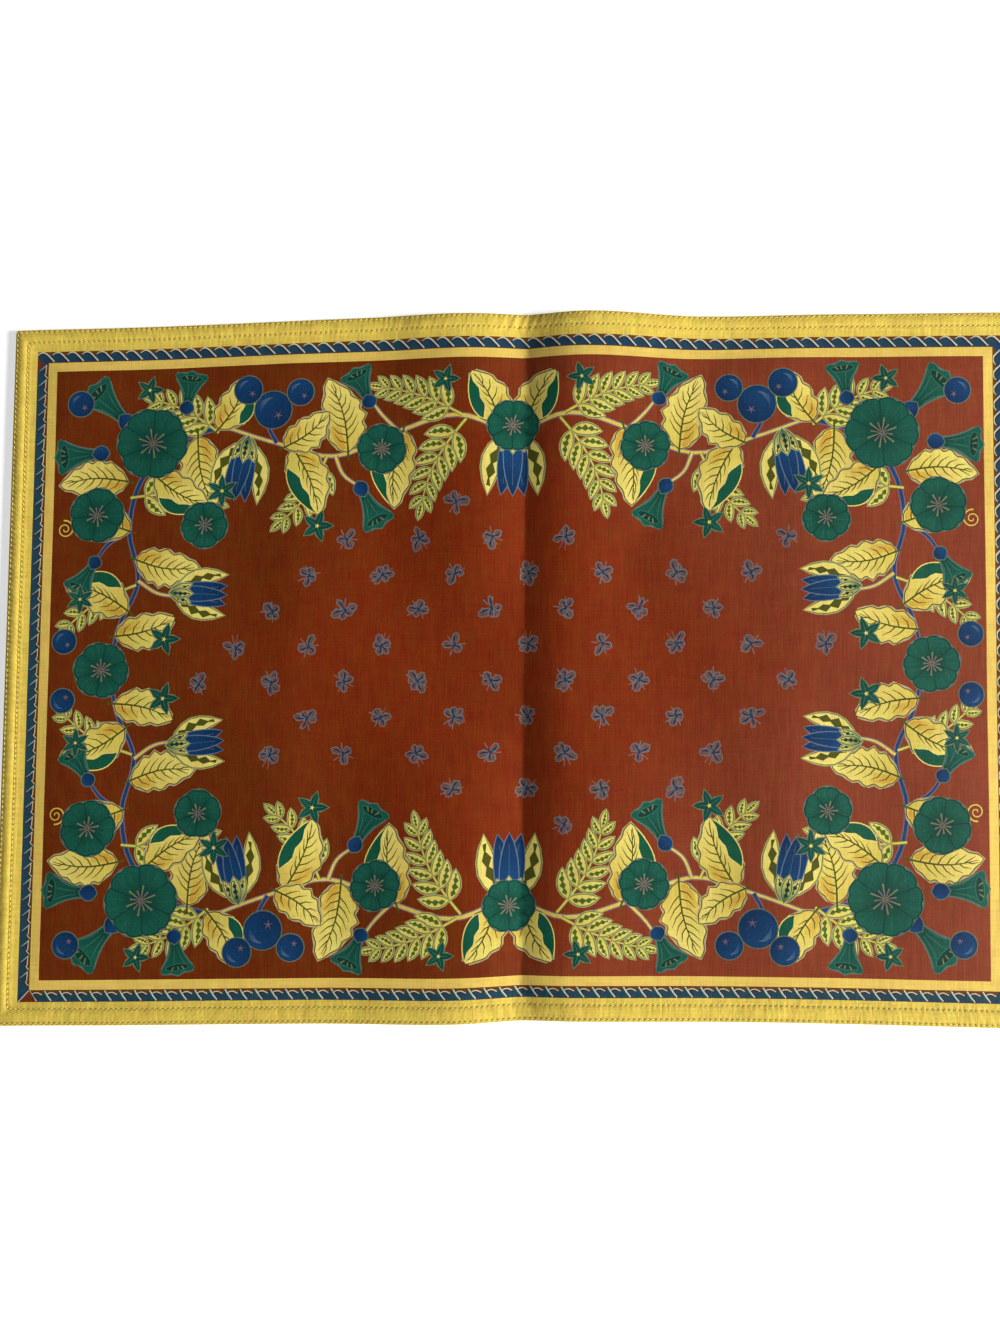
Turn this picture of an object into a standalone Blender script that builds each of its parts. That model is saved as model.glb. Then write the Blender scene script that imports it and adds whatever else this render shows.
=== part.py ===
"""Rectangular fabric placemat, lying flat, printed side up.

One piece of stout cotton with a double-turned hem along its four sides.  It was once folded in half,
so a valley crease crosses it a little right of its middle, with a low swell of cloth on each side.
The rest of the cloth lies flat.  The cloth is pulled slightly askew and its long sides bow a little.

Frame: metres, +X along the mat, +Y across it, +Z up, origin at the middle of its box's bottom.
"""
import math

import bmesh
import bpy
import numpy as np

# Driving dimensions of the cut and hemmed mat, before it lies askew.
MAT_LENGTH = 0.480
MAT_WIDTH = 0.330
CLOTH_THICKNESS = 0.0010
HEM_WIDTH = 0.0068
HEM_THICKNESS = 0.0021
FOLD_ROUNDING = 0.0007
FOLD_EDGE_LOW = 0.0005
FOLD_EDGE_HIGH = 0.0015
CORNER_ROUNDING = 0.0006

# The crease of the mat folded in half, and the swells on its two sides.
CREASE_X = 0.0058
LEFT_CREST = 0.027
LEFT_REACH = 0.070
RIGHT_CREST = 0.025
RIGHT_REACH = 0.052
LEFT_SWELL = 0.0019
LEFT_SWELL_EXTRA = 0.0016
LEFT_SWELL_PITCH = 0.160
RIGHT_SWELL = 0.0030
RIGHT_SWELL_AT_BACK = 0.0046
RIGHT_SWELL_AT_FRONT = 0.0021

# How the rectangle lies askew: sideways pull per metre across, and the rise of the bowed sides.
SKEW = 0.0162
BOW = 0.0012

# How far each long side strays from its line, in columns: place along the mat, stray outwards.
BACK_SIDE_STRAY = (
    (-0.240, 0.0000),
    (-0.180, -0.0005),
    (-0.035, 0.0012),
    (0.030, 0.0007),
    (0.088, -0.0014),
    (0.160, -0.0006),
    (0.240, 0.0000),
)
FRONT_SIDE_STRAY = (
    (-0.240, 0.0000),
    (-0.170, 0.0006),
    (-0.040, 0.0005),
    (0.020, -0.0010),
    (0.110, -0.0008),
    (0.240, 0.0000),
)

# Grid segments between the lines that the cloth bends on.
PANEL_SEGMENTS = 8
FLANK_SEGMENTS = 6
WIDTH_SEGMENTS = 16

# Edges turning by more than this many degrees are drawn sharp.
SHARP_ANGLE = 65

# Finish of the printed cotton.
CLOTH_COLOUR = (0.20, 0.035, 0.008, 1.0)
CLOTH_ROUGHNESS = 0.85
CLOTH_METALLIC = 0.0


def remove_objects():
    """Empties the scene of its objects."""
    for old in list(bpy.data.objects):
        bpy.data.objects.remove(old, do_unlink=True)


def hem_lines(half):
    """Distances from the middle of the lines that one hem bends on, from its inner side outwards."""
    inner = half - HEM_WIDTH
    return [inner - FOLD_ROUNDING, inner + FOLD_ROUNDING, half - FOLD_ROUNDING, half]


def stations_along():
    """Places of the grid's columns: closer together where the cloth rises beside the crease."""
    hem = hem_lines(MAT_LENGTH / 2)
    marks = [
        (-hem[0], PANEL_SEGMENTS),
        (CREASE_X - LEFT_REACH, FLANK_SEGMENTS),
        (CREASE_X - LEFT_CREST, FLANK_SEGMENTS),
        (CREASE_X, FLANK_SEGMENTS),
        (CREASE_X + RIGHT_CREST, FLANK_SEGMENTS),
        (CREASE_X + RIGHT_REACH, PANEL_SEGMENTS),
    ]
    ends = [mark[0] for mark in marks[1:]] + [hem[0]]
    places = [-line for line in reversed(hem[1:])]
    for (start, segments), end in zip(marks, ends):
        places += list(np.linspace(start, end, segments, endpoint=False))
    return np.array(places + hem)


def stations_across():
    """Places of the grid's rows, evenly spaced between the two long hems."""
    hem = hem_lines(MAT_WIDTH / 2)
    middle = list(np.linspace(-hem[0], hem[0], WIDTH_SEGMENTS, endpoint=False))
    return np.array([-line for line in reversed(hem[1:])] + middle + hem)


def crease_lift(x, y):
    """Height of the underside: quarter waves down into the crease, half waves out to the flat cloth."""
    turn = 2 * math.pi * y / LEFT_SWELL_PITCH
    left = LEFT_SWELL + LEFT_SWELL_EXTRA * (1 - math.cos(turn)) / 2
    across = abs(y) / (MAT_WIDTH / 2)
    side = RIGHT_SWELL_AT_BACK if y > 0 else RIGHT_SWELL_AT_FRONT
    right = RIGHT_SWELL + (side - RIGHT_SWELL) * across ** 2
    place = x - CREASE_X
    if place < 0:
        height, crest, reach = left, LEFT_CREST, LEFT_REACH
    else:
        height, crest, reach = right, RIGHT_CREST, RIGHT_REACH
    distance = abs(place)
    if distance <= crest:
        return height * math.sin(math.pi / 2 * distance / crest)
    if distance < reach:
        return height * (1 + math.cos(math.pi * (distance - crest) / (reach - crest))) / 2
    return 0.0


def stray(x, table):
    """How far a long side strays from its line at x, by half waves between the table's rows."""
    for (start, low), (end, high) in zip(table, table[1:]):
        if x <= end:
            part = (x - start) / (end - start)
            return low + (high - low) * (1 - math.cos(math.pi * part)) / 2
    return table[-1][1]


def lie_askew(x, y):
    """Place of a point of the rectangle once the cloth has been pulled askew and its sides bow."""
    half_length = MAT_LENGTH / 2
    half_width = MAT_WIDTH / 2
    is_corner = min(abs(x) - half_length, abs(y) - half_width) > -FOLD_ROUNDING / 2
    inset = CORNER_ROUNDING if is_corner else 0.0
    table = BACK_SIDE_STRAY if y > 0 else FRONT_SIDE_STRAY
    outwards = stray(x, table) * (y / half_width) ** 2 - inset
    bowed = y + BOW * (1 - 2 * (x / half_length) ** 2)
    return x - math.copysign(inset, x) + SKEW * y, bowed + math.copysign(outwards, y)


def cloth_heights(x, y):
    """Heights of the top and the underside above the crease's lift: thin cloth, thick hem, round fold."""
    inset = min(MAT_LENGTH / 2 - abs(x), MAT_WIDTH / 2 - abs(y))
    if inset < FOLD_ROUNDING / 2:
        return FOLD_EDGE_HIGH, FOLD_EDGE_LOW
    if inset < HEM_WIDTH:
        return HEM_THICKNESS, 0.0
    return CLOTH_THICKNESS, 0.0


def build_mat():
    """Makes the mat: a sheet of grid squares, extruded, laid in its folds and centred on the origin."""
    columns = stations_along()
    rows = stations_across()
    sheet = bmesh.new()
    bmesh.ops.create_grid(sheet, x_segments=len(columns) - 1, y_segments=len(rows) - 1, size=0.5)
    top_verts = list(sheet.verts)
    extruded = bmesh.ops.extrude_face_region(sheet, geom=sheet.faces[:], use_keep_orig=True)
    low_verts = [item for item in extruded["geom"] if isinstance(item, bmesh.types.BMVert)]
    for verts, is_top in ((top_verts, True), (low_verts, False)):
        for vert in verts:
            x = columns[round((vert.co.x + 0.5) * (len(columns) - 1))]
            y = rows[round((vert.co.y + 0.5) * (len(rows) - 1))]
            top, underside = cloth_heights(x, y)
            height = crease_lift(x, y) + (top if is_top else underside)
            vert.co = (*lie_askew(x, y), height)
    places = np.array([vert.co for vert in sheet.verts])
    middle = (places.min(axis=0) + places.max(axis=0)) / 2
    bmesh.ops.translate(sheet, verts=sheet.verts[:], vec=(-middle[0], -middle[1], 0.0))
    bmesh.ops.triangulate(sheet, faces=sheet.faces[:])
    bmesh.ops.recalc_face_normals(sheet, faces=sheet.faces[:])
    mesh = bpy.data.meshes.new("placemat")
    sheet.to_mesh(mesh)
    sheet.free()
    mesh.shade_smooth()
    mesh.set_sharp_from_angle(angle=math.radians(SHARP_ANGLE))
    mat = bpy.data.objects.new("placemat", mesh)
    bpy.context.scene.collection.objects.link(mat)
    return mat


def printed_cotton():
    """Material of the cloth: rust-red printed cotton, dull, not metallic."""
    material = bpy.data.materials.new("printed_cotton")
    material.use_nodes = True
    shader = material.node_tree.nodes["Principled BSDF"]
    shader.inputs["Base Color"].default_value = CLOTH_COLOUR
    shader.inputs["Roughness"].default_value = CLOTH_ROUGHNESS
    shader.inputs["Metallic"].default_value = CLOTH_METALLIC
    return material


remove_objects()
placemat = build_mat()
placemat.data.materials.append(printed_cotton())
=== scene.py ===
import bpy
import numpy as np
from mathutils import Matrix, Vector
from mathutils.bvhtree import BVHTree
from mathutils.geometry import delaunay_2d_cdt


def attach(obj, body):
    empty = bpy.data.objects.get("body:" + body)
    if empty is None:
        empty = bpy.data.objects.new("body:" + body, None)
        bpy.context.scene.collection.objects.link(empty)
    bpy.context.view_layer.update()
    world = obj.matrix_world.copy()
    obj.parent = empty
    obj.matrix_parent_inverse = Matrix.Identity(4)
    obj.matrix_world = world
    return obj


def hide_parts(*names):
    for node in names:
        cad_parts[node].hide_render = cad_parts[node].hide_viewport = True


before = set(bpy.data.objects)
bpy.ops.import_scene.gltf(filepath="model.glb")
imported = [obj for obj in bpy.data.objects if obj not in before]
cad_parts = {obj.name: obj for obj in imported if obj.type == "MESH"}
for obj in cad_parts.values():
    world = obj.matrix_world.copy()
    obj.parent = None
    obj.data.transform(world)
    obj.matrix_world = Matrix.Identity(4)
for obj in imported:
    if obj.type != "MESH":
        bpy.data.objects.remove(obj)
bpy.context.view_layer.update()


# ---- The cloth as it lies -----------------------------------------------------------------------------
# One rectangle of stout cotton, hemmed all round.  It was once folded in half, so a valley crease crosses
# it a little right of its middle, and it lies slightly askew.  Lengths here are in mm on the flat cloth.
MAT_LENGTH, MAT_WIDTH = 480.0, 330.0
HALF_X, HALF_Y = MAT_LENGTH / 2, MAT_WIDTH / 2
SKEW = 0.0162
BOW = 1.2

# The crease and the swells on its two sides.  Each pair is a size in two places, and the name after it says
# how far from the middle line, or from the edge, the one turns into the other.
CREASE_X = 5.8
CREASE_ROUNDING, HEM_STIFFENS = (0.5, 4.5), (18, 7)
LEFT_SWELL, LEFT_SWELL_RISES = (0.7, 3.0), (8, 60)
LEFT_CREST = 27.0
LEFT_REACH, LEFT_REACH_GROWS = (72.0, 95.0), (-35, 15)
RIGHT_SWELL, RIGHT_SWELL_AT_BACK, RIGHT_SWELL_AT_FRONT = 3.0, 4.6, 2.1
RIGHT_CREST, RIGHT_CREST_GROWS = (21.0, 26.0), (60, 150)
RIGHT_REACH, RIGHT_NARROWEST = (95.0, 58.0), 45

# Two faint old folds in columns: place along the mat, rise.
OLD_FOLDS = ((-104.0, 1.5), (130.0, 1.3))
OLD_FOLD_ROUNDING, OLD_FOLD_REACH = 5.0, 28.0

# How far each long side strays from its line in columns: place along the mat, stray outwards.
BACK_SIDE_STRAY = ((-240, 0.0), (-180, -0.5), (-35, 1.2), (30, 0.7), (88, -1.4), (160, -0.6), (240, 0.0))
FRONT_SIDE_STRAY = ((-240, 0.0), (-170, 0.6), (-40, 0.5), (20, -1.0), (110, -0.8), (240, 0.0))

# The hem's section in columns: distance from the edge, height.  It is puffed up between its two rows of
# stitches, and the front hem is wider than the others.  The field's cloth relaxes from it further in.
STITCH_ROWS = (1.1, 6.3)
HEM_TOP = (
    (0.0, 1.05), (0.08, 1.50), (0.28, 1.84), (1.1, 1.86), (1.9, 1.99), (3.9, 2.27), (5.4, 2.10),
    (6.3, 1.76), (6.9, 1.74), (7.7, 1.50), (8.6, 1.40),
)
HEM_UNDERSIDE = (
    (0.0, 1.05), (0.15, 0.40), (1.1, 0.30), (1.9, 0.06), (5.4, 0.04), (6.3, 0.30), (6.9, 0.10),
    (8.6, 0.40),
)
HEM_INNER = HEM_TOP[-1][0]
HEM_RELAXED = 16.0
FIELD_TOP = 1.0
OFF_THE_TABLE = 0.02
FRONT_HEM_WIDER = 1.22
STITCH = 2.5
CORNER_CUT = 0.8

# Heights of the ripples that the sewing draws up along an edge: sharp ones, slow ones, and tight ones where
# the crease crosses the back and the front hem.
PUCKER, SLOW_PUCKER = 0.055, 0.07
TIGHT_PUCKER_AT_BACK, TIGHT_PUCKER_AT_FRONT = 0.24, 0.08


def ease(value, start, end):
    """Half wave that rises from 0 at start to 1 at end."""
    return (1 - np.cos(np.pi * np.clip((value - start) / (end - start), 0, 1))) / 2


def mix(one, other, share):
    """The one value with a share of the other in place of its own."""
    return one + (other - one) * share


def wave(along, pitch, sway, across, sway_pitch, phase):
    """Sine wave along one axis, its phase swayed by a slower sine wave along the same axis or another."""
    return np.sin(along / pitch + sway * np.sin(across / sway_pitch + phase))


def pairs(x, y):
    """Places as rows of x and y.  Either may be one number for all of them."""
    return np.stack(np.broadcast_arrays(x, y), -1)


def crease_lift(x, y):
    """Height of the underside: quarter waves down into the rounded crease, half waves out to flat cloth.
    The left swell is low in the middle and reaches further at the front, the right one is narrowest a
    little behind the middle, and the thick hem takes a rounder crease than the field."""
    is_left = x < CREASE_X
    left = mix(*LEFT_SWELL, ease(np.abs(y), *LEFT_SWELL_RISES))
    side = np.where(y > 0, RIGHT_SWELL_AT_BACK, RIGHT_SWELL_AT_FRONT)
    swell = np.where(is_left, left, mix(RIGHT_SWELL, side, (y / HALF_Y) ** 2))
    crest = np.where(is_left, LEFT_CREST, mix(*RIGHT_CREST, ease(y, *RIGHT_CREST_GROWS)))
    left_reach = mix(*LEFT_REACH, ease(-y, *LEFT_REACH_GROWS))
    right_reach = mix(*RIGHT_REACH, np.exp(-((y - RIGHT_NARROWEST) / RIGHT_NARROWEST) ** 2))
    rounding = mix(*CREASE_ROUNDING, ease(np.abs(y), *(HALF_Y - np.array(HEM_STIFFENS))))
    distance = np.hypot(x - CREASE_X, rounding) - rounding
    rise = np.sin(np.pi / 2 * np.minimum(distance / crest, 1))
    return swell * rise * (1 - ease(distance, crest, np.where(is_left, left_reach, right_reach)))


def stray(x, table):
    """How far a long side strays from its line at x, by half waves between the table's rows."""
    rows = np.array(table, float)
    row = np.clip(np.searchsorted(rows[:, 0], x) - 1, 0, len(rows) - 2)
    start, end = rows[row], rows[row + 1]
    return mix(start[..., 1], end[..., 1], ease(x, start[..., 0], end[..., 0]))


def askew(x, y, height):
    """Places in metres of points of the flat cloth, once it is pulled askew and its long sides bow."""
    outwards = np.where(y > 0, stray(x, BACK_SIDE_STRAY), -stray(x, FRONT_SIDE_STRAY))
    bowed = y + BOW * (1 - 2 * (x / HALF_X) ** 2) + outwards * (y / HALF_Y) ** 2
    return np.stack([x + SKEW * y, bowed, height + 0 * x], -1) / 1000


def to_edges(x, y):
    """Distances to the nearest end and to the nearest long side, the front one's shortened by the factor
    that its hem is wider by."""
    to_front = (HALF_Y + y) / FRONT_HEM_WIDER
    return HALF_X - np.abs(x), np.where(y < 0, to_front, HALF_Y - y)


def puckers(x, y):
    """Ripples along an edge: sine waves of unlike pitch that lean and die away at the corners, at the fold
    and 20 mm into the cloth.  Tight ones crowd together in the hem at the crease."""
    to_end, to_side = to_edges(x, y)
    is_long = to_side < to_end
    inset = np.minimum(to_end, to_side)
    along = np.where(is_long, x * np.sign(y), -y * np.sign(x))
    seed = np.where(is_long, np.sign(y) * 2.1, np.sign(x) * 4.7)
    lean = along + 0.55 * inset * np.sin(along / 47 + seed)
    sharp = wave(lean, 0.86, 2.1, lean, 9.1, seed) * (0.5 + 0.5 * np.sin(lean / 17 + 2 * seed))
    sharp += 0.9 * wave(lean, 1.9, 1.7, lean, 23, 3 * seed)
    slow = wave(lean, 6.3, 2.3, lean, 31, seed)
    across = ease(inset, 0.3, 3.0) * (1 - 0.45 * ease(inset, 4.5, 7.5)) * (1 - ease(inset, 8, 20))
    corner = ease(np.abs(to_end - to_side), 3, 18)
    crowded = x - 5 + 0.3 * inset
    tight = np.sin(crowded / 0.72 + 0.018 * crowded**2) * np.exp(-((crowded / 13) ** 2))
    tight *= np.where(is_long, np.where(y > 0, TIGHT_PUCKER_AT_BACK, TIGHT_PUCKER_AT_FRONT), 0.0)
    tight *= (1 - ease(inset, 5.5, 9)) * ease(inset, 0.2, 2.0)
    return (PUCKER * sharp + SLOW_PUCKER * slow) * across * corner + tight


def relief(x, y):
    """Cloth that doesn't lie quite flat: two old folds that fall away on both sides, and slow waves whose
    phase wanders along the other axis."""
    wide = 0.55 + 0.30 * wave(x, 13, 1.9, y, 43, 0.4) + 0.14 * wave(y, 17, 1.3, x, 52, 1.9)
    fine = 0.035 * wave(x + 0.6 * y, 5.1, 1.8, y, 24, 0) * np.sin(x / 37 + 1.1) * np.sin(y / 29 + 0.5)
    for place, rise in OLD_FOLDS:
        distance = np.hypot(x - place, OLD_FOLD_ROUNDING) - OLD_FOLD_ROUNDING
        wide = wide + rise * np.exp(-distance / OLD_FOLD_REACH)
    return (wide + fine) * ease(np.minimum(*to_edges(x, y)), 6, 30)


def face_height(x, y, section, level):
    """Height of a face: the crease's lift and the relief, over the hem's section, which eases to a level."""
    inset = np.minimum(*to_edges(x, y))
    hem = np.interp(inset, *np.transpose(section))
    relaxed = mix(section[-1][1], level, ease(inset, HEM_INNER - 2, HEM_RELAXED))
    return crease_lift(x, y) + np.where(inset < HEM_INNER, hem, relaxed) + relief(x, y)


def top_height(x, y):
    """Height of the printed face, with the puckers."""
    return face_height(x, y, HEM_TOP, FIELD_TOP) + puckers(x, y)


def underside_height(x, y):
    """Height of the wrong side."""
    return face_height(x, y, HEM_UNDERSIDE, 0.0) + OFF_THE_TABLE


def hem_loop(inset, per_stitch=2):
    """Rectangle of stations at a distance inside the edge, counter-clockwise, with one at each corner."""
    half_x, half_y = HALF_X - inset, HALF_Y - inset
    along_x, along_y = [
        np.linspace(-1, 1, int(length / STITCH * per_stitch), endpoint=False)
        for length in (MAT_LENGTH, MAT_WIDTH)
    ]
    two_sides = np.vstack([pairs(along_x, -1.0), pairs(1.0, along_y)])
    places = np.vstack([two_sides, -two_sides]) * (half_x, half_y)
    excess = np.abs(places).sum(axis=1, keepdims=True) - (half_x + half_y - CORNER_CUT)
    places -= np.sign(places) * np.maximum(excess, 0) / 2
    places[:, 1] *= np.where(places[:, 1] < 0, (HALF_Y - FRONT_HEM_WIDER * inset) / half_y, 1)
    return places


# The askew cloth's box is centred on the origin, as the solid is.
outline = askew(*hem_loop(0).T, 0)
MIDDLE = (outline.min(axis=0) + outline.max(axis=0)) / 2


def laid(x, y, height):
    """Places in metres of points of the flat cloth on the finished, centred mat."""
    return askew(x, y, height) - MIDDLE


# ---- The print ----------------------------------------------------------------------------------------
# The pattern of the printed face: a rope border between two yellow bands, a scroll garland of a generic
# design round a rust field, and rows of little sprigs.  Each flat area of ink is an outline in mm, later
# areas lie over earlier ones, and all of them are cut into the cloth's own surface.
INKS = {
    "hem": (0.60, 0.445, 0.072),
    "band": (0.63, 0.44, 0.092),
    "ground": (0.158, 0.0188, 0.0008),
    "yellow": (0.54, 0.42, 0.075),
    "light_yellow": (0.64, 0.53, 0.13),
    "orange": (0.48, 0.25, 0.022),
    "cream": (0.36, 0.30, 0.15),
    "green_cream": (0.27, 0.30, 0.12),
    "olive": (0.060, 0.066, 0.006),
    "moss": (0.050, 0.105, 0.014),
    "leaf_green": (0.002, 0.066, 0.028),
    "green": (0.005, 0.074, 0.048),
    "deep_green": (0.001, 0.034, 0.022),
    "pale_green": (0.035, 0.120, 0.085),
    "halo": (0.150, 0.150, 0.075),
    "cool_halo": (0.085, 0.115, 0.090),
    "navy": (0.002, 0.018, 0.058),
    "cobalt": (0.004, 0.042, 0.125),
    "pale_blue": (0.085, 0.125, 0.190),
    "mauve": (0.150, 0.095, 0.120),
    "rope_blue": (0.010, 0.035, 0.088),
    "rope_teal": (0.012, 0.046, 0.058),
    "rope_dark": (0.010, 0.016, 0.017),
    "rope_line": (0.50, 0.42, 0.29),
    "rope_pale": (0.42, 0.44, 0.36),
    "rope_slate": (0.17, 0.21, 0.235),
    "rope_shade": (0.105, 0.036, 0.004),
    "rope_rust": (0.120, 0.022, 0.006),
    "sprig_line": (0.120, 0.122, 0.128),
    "sprig_fill": (0.088, 0.092, 0.094),
    "sprig_teal": (0.030, 0.055, 0.085),
    "sprig_dab": (0.006, 0.014, 0.050),
    "feeler": (0.180, 0.060, 0.035),
}


def area(outline, ink, far_ink=None, near=(0.0, 0.0), far=(1.0, 0.0)):
    """One flat inked area: its outline and the two inks that blend from the near place to the far one."""
    blend = np.array([near, far], float)
    return {"outline": np.asarray(outline, float), "inks": (ink, far_ink or ink), "blend": blend}


def moved(areas, matrix, shift=(0.0, 0.0)):
    """Areas with their outlines and blends multiplied by a matrix, then shifted."""
    return [dict(one, **{key: one[key] @ matrix + shift for key in ("outline", "blend")}) for one in areas]


def placed(areas, x, y, turn, flip=1):
    """Areas mirrored in their own x axis if flip is -1, then turned by so many degrees and moved."""
    c, s = np.cos(np.radians(turn)), np.sin(np.radians(turn))
    return moved(areas, np.array([[c, s], [-s * flip, c * flip]]), (x, y))


def mirrored(areas, over_x, over_y):
    """Areas mirrored over the middle of the field: factors of -1 or 1 for x and y."""
    return moved(areas, np.diag((over_x, over_y)))


def fanned(areas, turns, x=0):
    """Copies of areas turned by so many degrees each, all from one place on the x axis."""
    return [one for turn in turns for one in placed(areas, x, 0, turn)]


def unit(vectors):
    """Vectors of the same directions, each 1 long."""
    return vectors / np.maximum(np.linalg.norm(vectors, axis=1, keepdims=True), 1e-9)


def left_of(vectors):
    """Vectors turned a quarter to the left."""
    return vectors[:, ::-1] * (-1, 1)


def crossed(one, other):
    """Cross product of flat vectors: twice the area of the triangle between them."""
    return one[..., 0] * other[..., 1] - one[..., 1] * other[..., 0]


def swing(outline):
    """Twice the outline's area, positive where it runs counter-clockwise."""
    return crossed(outline, np.roll(outline, -1, 0)).sum()


def grown(outline, by):
    """Outline moved outwards along the bisector of its two sides at each point."""
    side = unit(np.roll(outline, -1, 0) - outline)
    return outline - by * np.sign(swing(outline)) * left_of(unit(side + np.roll(side, 1, 0)))


def curve(points, per_span):
    """Smooth curve through points: cubic spans whose slope at a point runs between its neighbours."""
    p = np.asarray(points, float)
    p = np.vstack([2 * p[0] - p[1], p, 2 * p[-1] - p[-2]])
    t = np.linspace(0, 1, per_span, endpoint=False)[:, None]
    spans = []
    for a, b, c, d in zip(p, p[1:], p[2:], p[3:]):
        square = t**2 * (a - 2.5 * b + 2 * c - d / 2)
        cube = t**3 * (1.5 * (b - c) + (d - a) / 2)
        spans.append(b + t * (c - a) / 2 + square + cube)
    return np.vstack(spans + [p[-2:-1]])


def stroke(line, *widths):
    """Outline of a brush stroke along a line, its width going evenly through the given ones."""
    line = np.asarray(line, float)
    width = np.interp(np.linspace(0, 1, len(line)), np.linspace(0, 1, len(widths)), widths)
    side = left_of(unit(np.gradient(line, axis=0))) * width[:, None] / 2
    return np.vstack([line + side, (line - side)[::-1]])


def between(x, low, high):
    """Outline between two lines over the same x values."""
    return np.vstack([pairs(x, low), pairs(x, high)[::-1]])


def pointed(x, low, high):
    """The same for two lines that meet at both ends, with each end given once."""
    return np.vstack([pairs(x, low), pairs(x, high)[-2:0:-1]])


def around(count):
    """Angles in radians all round a circle, evenly apart."""
    return np.linspace(0, 2 * np.pi, count, endpoint=False)


def polar(radius, angle):
    """Places at distances from the middle, in directions in radians."""
    return pairs(np.multiply(radius, np.cos(angle)), np.multiply(radius, np.sin(angle)))


def arch(t):
    """Half sine wave over 0 to 1."""
    return np.sin(np.pi * t)


def blade_half(t, width, shape=0.8, full=0.75):
    """Half width of a blade along its length: a power of a sine arch, whose widest place is nearer the base
    where shape is under 1 and nearer the tip where it is over 1."""
    return width / 2 * arch(np.clip(t, 0, 1) ** shape) ** full


def ringed(outline, halo_ink="cream", line_ink="olive", halo=0.68, line=0.50):
    """The two areas under a form: the pale ring left round it, and the drawn line inside that."""
    return [area(grown(outline[::2], halo + line), halo_ink), area(grown(outline, line), line_ink)]


def leaf(length, width, bend, teeth, is_turned):
    """Ovate leaf along +x: arched midrib, wavy margin, forked veins, orange towards its base.  On some a
    green edge turns over."""
    t = np.linspace(0, 1, 3 * teeth + 1)
    rib, half = bend * arch(t), blade_half(t, width)
    upper = rib + half * (1 + 0.13 * np.sin(t * teeth * 4.1 + 0.5) * (t > 0.12))
    lower = rib - half * (1 + 0.11 * np.sin(t * teeth * 3.3 + 2.0) * (t > 0.12))
    outline = pointed(length * t, upper, lower)
    lit = area(outline, "yellow", "light_yellow", (length * 0.2, -width * 0.2), (length * 0.8, width * 0.3))
    base = slice(1, 11, 2)
    shade = between(length * t[base], (rib - 0.86 * half)[base], (rib - 0.25 * half)[base])
    made = ringed(outline) + [lit, area(shade, "orange", "yellow", (0, 0), (length * 0.5, 0))]
    if is_turned:
        t = np.linspace(0.22, 0.97, 12)
        swell = arch(np.linspace(0, 1, 12)) ** 0.6
        rib, half = bend * arch(t), blade_half(t, width)
        inner = rib + half * (1 - swell * (0.52 + 0.10 * np.sin(t * 20)))
        edge = pointed(length * t, inner, rib + half * (1 + 0.14 * swell) + 0.7 * swell)
        made.append(area(grown(edge, 0.5), "light_yellow"))
        made.append(area(edge, "green", "leaf_green", (0, 0), (length, 0)))
    t = np.linspace(-0.12, 0.93, 7)
    made.append(area(stroke(pairs(length * t, bend * arch(t)), 0.95, 0.75, 0.3), "olive"))
    for side in (1, -1):
        for start in np.linspace(0.14, 0.76, max(3, int(length / 5))) + 0.03 * side:
            t = start + np.array([0, 0.06, 0.17])
            reach = side * (0.45 if is_turned and side > 0 else 1) * 0.72 * blade_half(t[2], width)
            vein = pairs(length * t, bend * arch(t[[0, 0, 2]]) + reach * np.array([0, 0.55, 1]))
            made.append(area(stroke(vein, 0.65, 0.55, 0.2), "olive"))
    return made


def slim_leaf(length, width, bend=0.0, ink="yellow", vein="moss"):
    """Narrow leaf or leaflet along +x: a cream ring, a green line, and a hatched green shade whose teeth
    point from the midrib to the margin."""
    t = np.linspace(0, 1, 7)
    rib, half = bend * arch(t), blade_half(t, width, 0.9, 0.9)
    outline = pointed(length * t, rib - half, rib + half)
    t = np.linspace(0.14, 0.88, 8)
    rib, half = bend * arch(t), blade_half(t, width, 0.9, 0.9)
    shade = between(length * t, rib - half * np.tile([0.05, 0.42], 4), rib + half * np.tile([0.22, 0.78], 4))
    return [
        area(grown(outline, 0.85), "green_cream"), area(grown(outline, 0.32), vein),
        area(outline, ink, "light_yellow", (0, 0), (length, 0)), area(shade, vein),
    ]


def fern(length, leaflets, leaflet_length, bend):
    """Spray of paired leaflets on an arched rib, shorter towards the tip, one at the end."""
    t = np.linspace(0, 1, 14)
    rib = pairs(length * t, bend * np.sin(np.pi * 0.8 * t))
    made = [area(stroke(rib, 1.9, 1.5, 1.1), "moss"), area(stroke(rib, 1.1, 0.8, 0.5), "yellow")]
    for place in np.linspace(0.18, 0.94, leaflets):
        at = [np.interp(place, t, along) for along in rib.T]
        slope = np.degrees(np.arctan2(bend * np.pi * 0.8 * np.cos(np.pi * 0.8 * place), length))
        size = leaflet_length * (1.05 - 0.55 * place)
        for side in (1, -1):
            leaflet = slim_leaf(size, size * 0.37, 0.06 * size)
            made += placed(leaflet, *at, slope + side * (52 - 14 * place), side)
    return made + placed(slim_leaf(leaflet_length * 0.55, leaflet_length * 0.19), *rib[-1], slope)


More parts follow.
